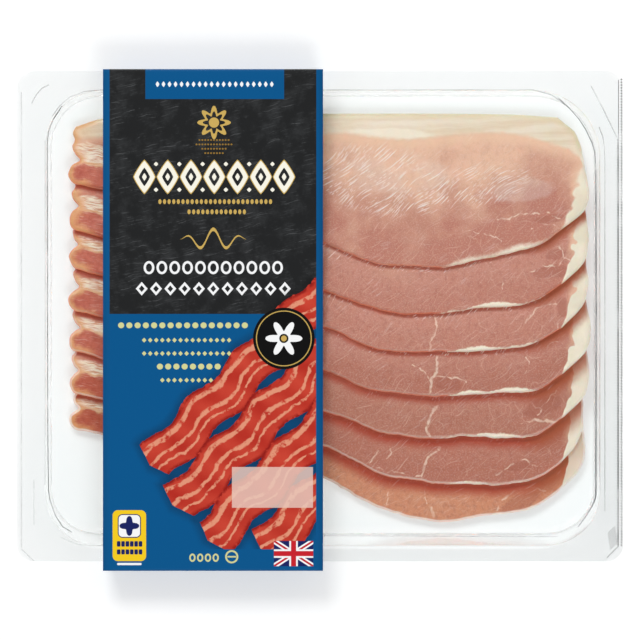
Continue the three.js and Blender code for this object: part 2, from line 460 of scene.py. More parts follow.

# Fine lines of the clear parts, each given as shade, width and points: painted shade lines along the bends of
# the tray's wall, where the wall bends the light, and the edges of the film and of its seal, partly their own
# marks and partly painted shade. Two columns of pressed dots run down the right side.
flangeMarks = {
    "base": filmHigh.z + 0.03,
    "height": 0.1,
    "bendShadeLines": [
        (0.4, 0.26, [(1, 94.9), (88, 94.9), (95.7, 92.8), (102.7, 87.5)]),
        (0.7, 0.36, [(98.5, 91.4), (102.7, 87.5), (106.6, 83.2), (109.7, 78.4), (112.2, 73), (113.4, 69.3),
                     (113.8, 62)]),
        (0.95, 0.5, [(113.8, 62), (113.9, 0), (113.8, -72.2), (113.2, -74.8), (111.9, -77.3)]),
        (0.75, 0.4, [(111.9, -77.3), (109.3, -81.5), (106.4, -85.3)]),
        (0.2, 0.24, [(115.3, 66), (115.4, -70)]),
        (0.4, 0.26, [(-89.5, 94.9), (-97.2, 94.3), (-103.3, 91.9), (-107.4, 88.3), (-110.4, 84)]),
        (0.65, 0.36, [(-106.4, 88.3), (-110, 82.7), (-112, 77.6), (-112.5, 72.4), (-112.3, -46), (-112, -70),
                      (-111.4, -74), (-109.3, -80.4), (-106, -85.4), (-102.3, -87.5)]),
        (0.25, 0.24, [(-113.4, 74), (-113.4, -68)]),
        (0.16, 0.3, [(98, -89.4), (1.4, -89)]),
        (0.12, 0.3, [(96, -93.2), (1.4, -93.2)]),
        (0.14, 0.3, [(-89.6, -93.2), (-100, -92.6), (-107, -89.5)]),
    ],
    "seals": [
        (0.6, 0.34, [(123.1, 99), (123.1, 60), (123.1, -93.2)]),
        (0.22, 0.3, [(-123.2, 94), (-123.2, -94)]),
        (0.35, 0.3, [(111.8, 96.5), (116, 88.6), (120, 80.4), (122.4, 75.4)]),
        (0.4, 0.3, [(115.1, 79.6), (116.6, 75.6), (117.3, 71.5), (117.5, 66), (117.5, -79)]),
        (0.14, 0.3, [(-118, -66), (-118, -84.5)]),
        (0.35, 0.3, [(-119, 89.3), (-116.8, 93.2), (-114.6, 95.6), (-111.8, 97)]),
        (0.2, 0.3, [(-123.1, -94.5), (-118, -99.4)]),
        (0.5, 0.34, [(123.1, -93.2), (118.4, -98)]),
    ],
    "hatch": {"count": 9, "from": (119.6, -94.6), "step": (-0.12, 0.8), "reach": 3.1, "mark": (0.45, 0.3)},
    "dots": [(124.35, 99.2, -93.4), (122.75, 74.2, -93.4)],
    "dotPitch": 1.15,
    "dotSize": (0.34, 0.14),
    "dotShade": 0.7,
    "patches": 14,
    "tint": (paint(150, 152, 153), paint(96, 98, 99)),
}


def markPlastic():
    material, at = newMaterial("pressedMarksAndShadeLines")
    uneven = noise(at, flangeMarks["patches"]).smooth(0.3, 0.6)
    return dress(material, {
        "Base Color": blended(uneven, *flangeMarks["tint"]),
        "Alpha": attribute(at.tree, "shade") * (uneven * 0.4 + 0.6),
        "Roughness": uneven * 0.1 + 0.25,
    })


def makeMarks():
    m = flangeMarks
    points = []
    faces = []
    shades = []
    height = m["height"]
    lines = m["bendShadeLines"] + m["seals"]
    h = m["hatch"]
    for number in range(h["count"]):
        x = h["from"][0] + h["step"][0] * number
        y = h["from"][1] + h["step"][1] * number
        lines.append((*h["mark"], [(x, y), (x + h["reach"], y + h["reach"])]))
    for shade, width, line in lines:
        line = np.array(line, float)
        ways = np.gradient(line, axis=0)
        ways /= np.linalg.norm(ways, axis=1)[:, None]
        sides = np.stack([-ways[:, 1], ways[:, 0]], 1) * width / 2
        for (x, y), (sx, sy) in zip(line, sides):
            points += [(x - sx, y - sy, m["base"]), (x, y, m["base"] + height), (x + sx, y + sy, m["base"])]
            shades += [shade] * 3
        start = len(points) - 3 * len(line)
        for a in range(start, len(points) - 3, 3):
            faces += [(a, a + 3, a + 4, a + 1), (a + 1, a + 4, a + 5, a + 2), (a + 2, a + 5, a + 3, a)]
    half, peak = m["dotSize"]
    for x, top, low in m["dots"]:
        for y in np.arange(top, low, -m["dotPitch"]):
            a = len(points)
            points += [(x - half, y - half, m["base"]), (x + half, y - half, m["base"]),
                       (x + half, y + half, m["base"]), (x - half, y + half, m["base"]),
                       (x, y, m["base"] + peak)]
            shades += [m["dotShade"]] * 5
            faces += [(a, a + 1, a + 4), (a + 1, a + 2, a + 4), (a + 2, a + 3, a + 4), (a + 3, a, a + 4),
                      (a + 3, a + 2, a + 1, a)]
    attributes = {"shade": shades}
    piece = makePiece("flangeMarks", points, faces, [markPlastic()], attributes=attributes, smooth=False)
    finishPiece(piece, "clear_film")


makeMarks()
print("flange marks made")

# Rashers: the outline and the shingled heights are the CAD model's, on a much finer mesh
rasherSizes = {
    "count": 7,
    "thickness": 2.6,
    "lapStep": 17.5,
    "backLine": 85.8,
    "layerGap": 0.3,
    "bend": 12,
    "droop": 7.4,
    "droopFrom": -55,
    "ripple": 0.35,
    "floor": trayLow.z + traySizes["wall"] + 0.3,
}
stray = {
    "lap": [0, -1.9, 0, -0.5, -0.2, -0.8, 0.3],
    "length": [0, 0, -0.6, 0.4, 0.2, -2, -1.6],
    "corner": [0, 3.2, 6, 7, 8.5, 9.8, 4.5],
    "waist": [0, 0, 0, 0.3, 1, 4.2, 7.2],
    "belly": [0.2, 0, 1, 0.8, 1.1, 2.2, 1.4],
}
outline = {
    "front": [(-98.6, -30), (-89.5, -32.4), (-45, -42), (1.6, -54), (16.4, -60), (25, -62.7),
              (51, -63.5), (65.2, -61), (74.7, -59.2), (89, -55.3), (100.8, -47.7)],
    "fat": [(-101.4, -5.4), (-89.5, -1.8), (-49.5, -0.4), (2, 0), (53.6, 0), (82.5, -0.5), (98.6, -1.6)],
    "tail": [(-98.6, -30), (-102.4, -28.8), (-104, -26), (-103.9, -23), (-102.2, -20.8), (-100.2, -19.2),
             (-101.8, -17), (-102.8, -13.6), (-101.6, -10.8), (-102.4, -8.2), (-101.4, -5.4)],
    "eye": [(100.8, -47.7), (109.3, -40.3), (111.6, -33.4), (110.3, -22.5), (106.4, -9), (98.6, -1.6)],
}
cutEdge = {
    "along": 300,
    "across": 84,
    "steps": (0, 0.07, 0.2, 0.42, 0.75, 1.15, 1.7),
    "round": 1.5,
    "power": 2.2,
    "foot": 0.12,
}


# A centripetal Catmull-Rom curve, sampled evenly along its length
def curveThrough(points, shares):
    p = np.array(points, float)
    p = np.concatenate([[2 * p[0] - p[1]], p, [2 * p[-1] - p[-2]]])
    spans = np.sqrt(np.linalg.norm(np.diff(p, axis=0), axis=1))
    t = np.linspace(0, 1, 60, endpoint=False)[:, None]
    pieces = []
    for i in range(1, len(p) - 2):
        d0, d1, d2 = spans[i - 1:i + 2]
        start = ((p[i] - p[i - 1]) / d0 - (p[i + 1] - p[i - 1]) / (d0 + d1) + (p[i + 1] - p[i]) / d1) * d1
        end = ((p[i + 1] - p[i]) / d1 - (p[i + 2] - p[i]) / (d1 + d2) + (p[i + 2] - p[i + 1]) / d2) * d1
        square = -3 * p[i] + 3 * p[i + 1] - 2 * start - end
        cube = 2 * p[i] - 2 * p[i + 1] + start + end
        pieces.append(p[i] + start * t + square * t ** 2 + cube * t ** 3)
    line = np.concatenate([*pieces, [p[-2]]])
    length = np.concatenate([[0], np.cumsum(np.linalg.norm(np.diff(line, axis=0), axis=1))])
    at = np.asarray(shares) * length[-1]
    return np.stack([np.interp(at, length, line[:, axis]) for axis in (0, 1)], -1)


def smoothStep(value, low, high):
    t = np.clip((value - low) / (high - low), 0, 1)
    return t * t * (3 - 2 * t)


def edgeSteps(count, length):
    near = np.array(cutEdge["steps"]) / length
    inner = np.linspace(near[-1], 1 - near[-1], count)
    return np.concatenate([near[:-1], inner, 1 - near[-2::-1]])


# Plan of one rasher: its four sides blended into a patch, then strayed from the common outline.
def rasherPlan(index, u, v):
    front = curveThrough(outline["front"], u)
    fat = curveThrough(outline["fat"], u)
    tail = curveThrough(outline["tail"], v)
    eye = curveThrough(outline["eye"], v)
    uu = u[None, :, None]
    vv = v[:, None, None]
    ruled = (1 - vv) * front[None] + vv * fat[None] + (1 - uu) * tail[:, None] + uu * eye[:, None]
    frontChord = front[0] + (front[-1] - front[0]) * uu
    fatChord = fat[0] + (fat[-1] - fat[0]) * uu
    plan = ruled - (frontChord + (fatChord - frontChord) * vv)
    x = plan[..., 0]
    y = plan[..., 1]
    uu = uu[..., 0]
    vv = vv[..., 0]
    full = stray["corner"][index] * smoothStep(x, 49, 98)
    slim = stray["waist"][index] * (0.4 + 0.6 * smoothStep(x, -102.3, 0)) * (1 - smoothStep(x, 2, 50))
    belly = stray["belly"][index] * np.exp(-((x - 58) / 22) ** 2)
    wave = np.sin(uu * 31 + index * 2.1) + np.sin(uu * 57 - index * 1.3) / 2
    lobes = np.sin(vv * 9 + index * 1.7)
    ragged = gentleWave(x, y, 7, 40 + index) * 0.22 + gentleWave(x, y, 2.6, 60 + index) * 0.09
    x = x + lobes * (2 * uu - 1) * 0.35 + stray["length"][index] * uu + ragged * (2 * uu - 1)
    y = y + (wave * 0.35 + slim - full - belly + ragged) * (1 - vv) + stray["lap"][index]
    return x, y + rasherSizes["backLine"] - rasherSizes["lapStep"] * index


def undersideAt(index, x, y):
    s = rasherSizes
    droop = s["droop"] * np.maximum(0, (s["droopFrom"] - x) / (s["droopFrom"] + 102.3)) ** 2
    laps = (s["backLine"] - droop - s["lapStep"] * index - y) / s["lapStep"]
    layers = -np.log(np.exp(-s["bend"] * laps) + math.exp(-s["bend"] * (s["count"] - 1 - index))) / s["bend"]
    ripple = s["ripple"] * (1 + np.sin(x / 17) * np.cos(y / 13 + x / 40)) / 2
    return s["floor"] + layers * (s["thickness"] + s["layerGap"]) + ripple


def distanceTo(line, x, y, closed=False):
    a = np.asarray(line)
    b = np.roll(a, -1, axis=0)
    if not closed:
        a = a[:-1]
        b = b[:-1]
    least = np.full(x.shape, 1e9)
    for (ax, ay), (bx, by) in zip(a, b):
        dx = bx - ax
        dy = by - ay
        t = np.clip(((x - ax) * dx + (y - ay) * dy) / max(dx * dx + dy * dy, 1e-9), 0, 1)
        least = np.minimum(least, (x - ax - t * dx) ** 2 + (y - ay - t * dy) ** 2)
    return np.sqrt(least)


def isInside(line, x, y):
    inside = np.zeros(x.shape, bool)
    for (ax, ay), (bx, by) in zip(line, np.roll(line, -1, axis=0)):
        if ay != by:
            inside ^= ((ay > y) != (by > y)) & (x < (bx - ax) * (y - ay) / (by - ay) + ax)
    return inside


# Where each rasher's parts of fat lie, measured in its own outline
fatLayout = {
    "band": [(-104, 10.6), (-90, 9.8), (-60, 7.5), (-20, 7.8), (2, 8.4), (10.5, 7.9), (19, 9.3), (27.6, 10.3),
             (38, 10.7), (47.6, 9.8), (57, 8.5), (66.6, 7.9), (76, 7.9), (85.6, 9.3), (95, 12.2),
             (102.7, 14.6), (107.5, 17.9), (110, 24)],  # how deep the band goes along the rasher
    "lobeWidth": [6.4, 7.2, 7.6, 8, 8, 7.8, 10],
    "lobeWave": 2.1,
    "lobeGrows": (19, 31),
    "lobeSpan": (98.5, 106),
    "crescentFrom": [50, 48, 48, 52, 46, 44, 66],
    "crescentTo": [97, 95, 93, 93, 96, 90, 96],
    "crescentWidth": [1.9, 1.8, 1.8, 2.2, 1.7, 1.1, 1.0],
}


def outlineOf(index):
    u = np.linspace(0, 1, 150)
    v = np.linspace(0, 1, 50)
    x, y = rasherPlan(index, u, v)
    plan = np.stack([x, y], -1)
    return rimOf(plan), plan[0]


def fatAmount(index, x, y, frontDepth, rimDepth):
    own = y - rasherSizes["backLine"] + rasherSizes["lapStep"] * index - stray["lap"][index]
    band = own + np.interp(x, *zip(*fatLayout["band"]))
    corner = smoothStep(-own, *fatLayout["lobeGrows"]) * smoothStep(x, *fatLayout["lobeSpan"])
    uneven = gentleWave(x, y, 5, 20 + index) * fatLayout["lobeWave"]
    lobe = fatLayout["lobeWidth"][index] * corner + uneven * corner - 0.4 - rimDepth
    start = fatLayout["crescentFrom"][index]
    at = (x - start) / (fatLayout["crescentTo"][index] - start)
    swell = np.sin(np.clip(at, 0, 1) * math.pi) ** 0.8 * (1 + 0.45 * np.sin(at * 11 + index * 2))
    crescent = fatLayout["crescentWidth"][index] * swell - 0.25 - frontDepth
    crescent = np.where(swell > 0, crescent, -6)
    return np.maximum(np.maximum(band, lobe), crescent)


def rasherMesh(index):
    u = edgeSteps(cutEdge["along"], 214)
    v = edgeSteps(cutEdge["across"], 52)
    x, y = rasherPlan(index, u, v)
    ring, frontLine = outlineOf(index)
    rimDepth = distanceTo(ring, x, y, closed=True)
    border = np.zeros(x.shape, bool)
    border[[0, -1], :] = True
    border[:, [0, -1]] = True
    rimDepth[border] = 0
    frontDepth = distanceTo(frontLine, x, y)
    fat = fatAmount(index, x, y, frontDepth, rimDepth)
    crease = np.full(x.shape, 60.0)
    if index:
        above = outlineOf(index - 1)[0]
        crease = distanceTo(above, x, y, closed=True) * np.where(isInside(above, x, y), -1, 1)
    middle = undersideAt(index, x, y) + rasherSizes["thickness"] / 2
    roundness = 1 - np.clip(rimDepth / cutEdge["round"], 0, 1)
    half = rasherSizes["thickness"] / 2 * (1 - roundness ** cutEdge["power"]) ** (1 / cutEdge["power"])
    relief = gentleWave(x, y, 16, 80 + index) * 0.09
    relief = relief + gentleWave(x + y * 0.8, y - x * 0.2, 5, 90 + index) * 0.05
    relief = relief + smoothStep(fat, -1.2, 0.6) * 0.16
    inner = smoothStep(rimDepth, 0, 2.5)
    foot = middle - rasherSizes["thickness"] / 2 + cutEdge["foot"]
    top = np.where(border, foot, foot - cutEdge["foot"] + 2 * half + relief * inner)
    bottom = foot - cutEdge["foot"] * np.clip(rimDepth / 0.6, 0, 1)
    rows, columns = x.shape
    upper = np.stack([x, y, top], 2).reshape(-1, 3)
    keep = ~border.reshape(-1)
    high = np.arange(rows * columns)
    low = high.copy()
    low[keep] = rows * columns + np.arange(keep.sum())
    lower = np.stack([x, y, bottom], 2).reshape(-1, 3)[keep]
    faces = gridFaces(rows, columns, low.tolist(), high.tolist())
    values = {"fat": fat, "front": frontDepth, "crease": crease, "rim": rimDepth}
    attributes = {}
    for label, value in values.items():
        flat = value.reshape(-1)
        attributes[label] = np.concatenate([flat, flat[keep]])
    return np.concatenate([upper, lower]), faces, attributes


# Node groups for meat
def buildFibres(at, turn, length, width, seed):
    along, across = turned(at, turn)
    shift = seed * seedStep
    return noise(joined(along / length + shift, across / width + shift), 1.0, detail=2.5, roughness=0.6)


# Short tapered strokes, at most one to a cell of a stretched grid, some of them left out
def buildStrokes(at, turn, length, gap, width, seed):
    along, across = turned(at, turn)
    grid = joined(along / length + seed, across / gap + seed)
    inputs = {"Vector": grid, "Scale": 1.0}
    middle = newNode(at.tree, "TexVoronoi", inputs, "Position", voronoi_dimensions="2D")
    awayX, awayY, _ = parted(grid.vector("SUBTRACT", middle))
    chance, shine, _ = parted(Signal(at.tree, middle.socket.node.outputs["Color"]))
    slim = awayY * gap / width
    shape = (awayX * awayX * 4.6 + slim * slim).smooth(1.0, 0.15)
    return shape * chance.smooth(0.3, 0.45) * (shine * 0.6 + 0.4)


def buildVein(at, start, reach, width):
    away = at.vector("SUBTRACT", start)
    whole = reach.vector("DOT_PRODUCT", reach, output=1)
    share = away.vector("DOT_PRODUCT", reach, output=1).calc("DIVIDE", whole, clamp=True)
    gap = away.vector("SUBTRACT", reach.vector("SCALE", scale=share)).vector("LENGTH", output=1)
    return gap.smooth(width, width * 0.35)


def buildIsland(at, centre, radii, turn):
    away = joined(*turned(at.vector("SUBTRACT", centre), turn))
    return away.vector("DIVIDE", radii).vector("LENGTH", output=1).smooth(1.1, 0.75)


fibres = makeGroup("meatFibres", buildFibres, "Turn", "Length", "Width", "Seed")
strokes = makeGroup("meatStrokes", buildStrokes, "Turn", "Length", "Gap", "Width", "Seed")
vein = makeGroup("meatVein", buildVein, "Start", "Reach", "Width")
island = makeGroup("meatIsland", buildIsland, "Centre", "Radii", "Turn")

# Veins drawn as short lines of points, each with a width, and darker islands of muscle
veins = {
    1: [(0.55, [(74, 41.3), (84.4, 43.8), (94.9, 44.3), (99.2, 42.1), (101, 39.9)]),
        (0.5, [(87.9, 37.8), (91.4, 39.5), (101, 39.9)]),
        (0.35, [(62, 37), (68, 35.6), (74.5, 33)])],
    2: [(0.6, [(87, 19.5), (92.3, 22.6), (98.3, 22.6), (101.4, 25.6), (100.1, 29), (97.5, 30.8)]),
        (0.45, [(101.4, 25.6), (105.3, 22.1)]),
        (0.35, [(76.2, 16), (75.3, 12.6)])],
    3: [(0.7, [(48, 2), (47.7, -4.3), (44.9, -8.7), (45.2, -12.6)]),
        (0.6, [(84.9, -1.2), (88.8, 3.9), (94, 6.5), (98.3, 6.1)]),
        (0.4, [(98.6, -0.5), (95.5, -6)])],
    4: [(0.95, [(48.6, -15.2), (48.3, -21.7), (45.8, -25.2), (45.5, -30)]),
        (0.55, [(45.8, -25.2), (48, -23.3), (52.3, -22.8), (56.7, -23.9), (60.1, -26.1)]),
        (0.5, [(37.1, -17.7), (41, -20.4), (44.5, -23.4), (45.6, -25.2)]),
        (0.5, [(85.3, -14.8), (86.2, -19.1), (84, -22.6), (79.2, -23.4)]),
        (0.4, [(94, -11.3), (99.2, -7.8)])],
    5: [(0.9, [(49, -34.3), (47.1, -38.2), (45.4, -42.6), (44.3, -45.2), (45.4, -47.8)]),
        (0.4, [(98.8, -27.8), (90.1, -39.5)]),
        (0.8, [(82.7, -42.9), (90, -41.5), (98.3, -42.1)])],
    6: [(0.9, [(49, -52.6), (44.5, -57.3), (43.2, -61.7), (41.9, -64.7)]),
        (0.5, [(29.3, -53), (27.6, -57.3)]),
        (0.5, [(23.7, -53.8), (20.2, -59.9)]),
        (0.5, [(21, -61.7), (32, -63), (41, -64.7)]),
        (0.6, [(72.2, -64.7), (79.2, -59.9), (84.4, -57.8), (88.4, -60.8), (92.3, -60.8)])],
    7: [(0.5, [(28.5, -67.7), (28.5, -73.8), (27.6, -76.9)]),
        (0.5, [(45.8, -66.8), (43.6, -70.3), (44.1, -76.4)]),
        (1.1, [(46.2, -78.2), (47.1, -81.6)]),
        (0.65, [(73.2, -79.4), (75.8, -74.7), (81, -71.2), (88.8, -69.1), (93.1, -71.2)])],
}
islands = {
    1: [((95, 41.8), (7, 1.9), 0.1)],
    2: [((97.5, 27), (4.5, 2.4), 0.3), ((96, 20), (9, 2.6), 0.1)],
    3: [((101, 5.2), (3.4, 4.2), 0.3)],
    4: [((53, -26.5), (6.5, 3), -0.1)],
    5: [((92, -36), (9, 4), 0.4)],
    6: [((82.7, -60.6), (5.2, 2.2), 0.2)],
    7: [((83, -76), (9.5, 3.6), 0.45)],
}

meatLook = {
    "leanBack": [paint(*tone) for tone in [(231, 186, 159), (198, 136, 118), (200, 137, 119), (192, 130, 112),
                                           (190, 128, 109), (189, 124, 105), (212, 147, 113)]],
    "leanFront": [paint(*tone) for tone in [(188, 121, 102), (190, 124, 105), (191, 126, 107), (184, 118, 99),
                                            (183, 120, 100), (183, 115, 95), (209, 141, 107)]],
    "deepRed": paint(160, 84, 66),
    "peach": paint(240, 203, 172),
    "fat": paint(238, 225, 205),
    "fatWarm": paint(227, 206, 178),
    "fatYellow": paint(221, 210, 170),
    "whiteFat": paint(243, 232, 212),
    "lobeFat": paint(232, 222, 200),
    "marbling": paint(230, 196, 178),
    "veinFat": paint(238, 214, 194),
    "glint": paint(255, 250, 245),
    "tailTan": paint(222, 164, 110),
    "tailLean": paint(200, 100, 74),
    "tailDeep": paint(176, 70, 48),
    "tailStrip": paint(210, 150, 116),
    "sheen": paint(246, 234, 224),
    # Painted shadow colours: the red-brown shade under the edge of the rasher above, and its browner wedge at
    # the eye end
    "crease": paint(172, 66, 42),
    "wingShadow": paint(166, 80, 46),
    "edgeShadeRed": paint(220, 112, 76),
    "noGlow": paint(0, 0, 0),
    "paintedGlow": paint(78, 42, 29),  # painted glow: emission that stands in for light scattered inside the meat at its thin edges and creases
    # Shares of a colour, rasher by rasher
    "mottle": [0.12, 0.3, 0.3, 0.32, 0.34, 0.34, 0.34],
    "fleckGlintShare": [0.7, 0.95, 0.95, 0.9, 0.35, 0.15, 0.1],
    "creaseShadeShare": [0, 0.6, 0.65, 0.7, 0.85, 0.97, 0.97],
    "shadeOffFat": [0, 0, 0, 0.05, 0.1, 0.1, 0.7],
    "rimHighlightShare": [0, 0, 0.1, 0.15, 0.3, 0.5, 0.8],
    "edgeShare": [0.7, 0.7, 0.7, 0.7, 0.7, 0.6, 0.15],
    # How far the painted shadow reaches under the edge of the rasher above, in millimetres: in its middle, at
    # the tail and more at the eye
    "creaseShadeDepth": [1, 1.3, 1.5, 2.4, 4.2, 5.6, 6.2],
    "tailShadeDepth": 2.6,
    "wingShadeDepth": 3.4,
    "fullShadeShare": 0.97,
    # Where parts begin and where they are full, in millimetres
    "tailSpan": (62, 84),
    "tanSpan": (91, 98),
    "wingSpan": (78, 96),
    "lobeSpan": (88, 98),
    "stripFrom": (8.4, 9.4),
    "stripTo": [(18.5, 17)] + [(15.4, 14.2)] * 6,
    "fatEdge": [(-1.3, 1.0)] + [(-0.3, 0.4)] * 6,
    "leanReach": [(44, 8)] + [(17, 3)] * 6,
    # Fibres by turn, length and width, and strokes by turn, length, gap and width
    "tailStreaks": (3.0, 6.0, 0.55),
    "fatStreaks": (0.03, 46.0, 3.4),
    "hairs": (0.7, 9.0, 2.6, 0.16),
    "glintStrokes": (0.68, 8.0, 1.15, 0.27),
    "fleckGlints": (0.8, 2.4, 0.8, 0.22),
    "seed": 3.7,
    "veinWidth": 0.85,
    "bundle": 8.5,  # millimetres across a bundle
    "relief": 0.22,
}
meatSurface = {
    "Emission Strength": 1.0,
    "Specular IOR Level": 0.4,
    "Subsurface Weight": 0.4,
    "Subsurface Radius": (1.0, 0.3, 0.16),
    "Subsurface Scale": 0.002,
    "Coat Weight": 0.2,
    "Coat Roughness": 0.22,
}
# Where the painted highlights lie, white streaks and milky sheen, and the paler lens in the first rasher's
# fat: centre, radii and turn
glintZones = {
    1: [((26, 58), (32, 15), -0.15), ((66, 56), (22, 9), 0.2)],
    2: [((8, 31), (20, 6), 0.0)],
    3: [((6, 14), (16, 5), 0.0)],
}
sheenZones = {1: [((84, 53.6), (14, 5), 0.1), ((30, 60), (26, 8), 0.0)], 2: [((20, 30), (22, 4), 0.0)]}
fatLens = ((27.8, 77), (19, 2.6), 0.0)


def strongest(masks):
    total = masks[0]
    for mask in masks[1:]:
        total = total.atLeast(mask)
    return total


def anyIsland(at, zones):
    return strongest([place(island, at, *zone) for zone in zones])


def drawnVeins(at, number, seed):
    bent = warped(warped(at, 9, 3.0, seed), 2.6, 1.5, seed + 1)
    lines = []
    for width, points in veins[number]:
        for (ax, ay), (bx, by) in zip(points, points[1:]):
            lines.append(place(vein, bent, (ax, ay), (bx - ax, by - ay), width * meatLook["veinWidth"]))
    return strongest(lines) * (noise(at, 4, seed=seed + 2).smooth(0.32, 0.56) * 0.5 + 0.5)


# A net of faint membranes between the muscle's bundles
def membranes(at, seed):
    bent = warped(warped(at, 12, 9.0, seed), 3, 1.4, seed + 1)
    edge = newNode(at.tree, "TexVoronoi", {"Vector": bent, "Scale": 1 / meatLook["bundle"]}, "Distance",
                   voronoi_dimensions="2D", feature="DISTANCE_TO_EDGE")
    return edge.smooth(0.028, 0.004) * noise(at, 11, seed=seed + 2).smooth(0.42, 0.6)


def leanColour(at, index, front, seed):
    look = meatLook
    number = index + 1
    mottle = noise(at, 13, detail=3.0, seed=seed)
    fine = noise(at, 2.2, detail=3.0, roughness=0.65, seed=seed + 1)
    speck = noise(at, 0.6, detail=1.0, seed=seed + 2)
    shade = (front.smooth(*look["leanReach"][index]) + (mottle - 0.5) * 1.3).clamped()
    lean = layered(
        look["leanBack"][index],
        (shade, look["leanFront"][index]),
        (fine.smooth(0.45, 0.72) * look["mottle"][index], look["deepRed"]),
        (speck.smooth(0.5, 0.75) * 0.13, look["sheen"]),
        (anyIsland(at, islands[number]) * 0.42, look["deepRed"]),
    )
    # Painted sheen: milky pale patches over the lean
    if number in sheenZones:
        milkySheen = anyIsland(at, sheenZones[number]) * mottle.smooth(0.3, 0.6)
        lean = blended(milkySheen * 0.2, lean, look["sheen"])
    return lean, mottle, fine


# A red lobe at the front of the tail, then a strip of streaky fat
def tailColour(at, index, front, fine, mottle, seed):
    look = meatLook
    stripe = front + (noise(at, 5, seed=seed) - 0.5) * 3
    streaks = place(fibres, at, *look["tailStreaks"], seed + 1)
    lobe = blended((fine * 1.6 + mottle - 0.8).clamped(), look["tailLean"], look["tailDeep"])
    lobe = blended(streaks.smooth(0.55, 0.75) * 0.4, lobe, look["marbling"])
    strip = stripe.smooth(*look["stripFrom"]) * stripe.smooth(*look["stripTo"][index])
    stripColour = blended(streaks.smooth(0.34, 0.6), look["tailStrip"], look["whiteFat"])
    border = abs(stripe - look["stripFrom"][1]).smooth(1.3, 0.2)
    return lobe, strip, blended(border * 0.7, stripColour, look["tailTan"])


# Soft streaks along the rasher; the first rasher's fat is yellow at its very edge
def fatColour(at, index, x, y, front, rim, mottle, seed):
    look = meatLook
    streaks = place(fibres, at, *look["fatStreaks"], seed)
    colour = blended(streaks.smooth(0.25, 0.75), look["fat"], look["fatWarm"])
    lobes = x.smooth(*look["lobeSpan"])
    if index == 0:
        colour = layered(
            colour,
            (anyIsland(at, [fatLens]) * 0.8, look["whiteFat"]),
            (rim.smooth(3.4, 0.2) * 0.6, look["fatYellow"]),
            ((x * -1).smooth(*look["lobeSpan"]) * 0.3, look["tailTan"]),
        )
        lobes = lobes * y.smooth(72, 66)
    lobeColour = blended(mottle.smooth(0.35, 0.65), look["lobeFat"], look["whiteFat"])
    return layered(colour, (lobes, lobeColour), (front.smooth(5, 3), look["whiteFat"]))


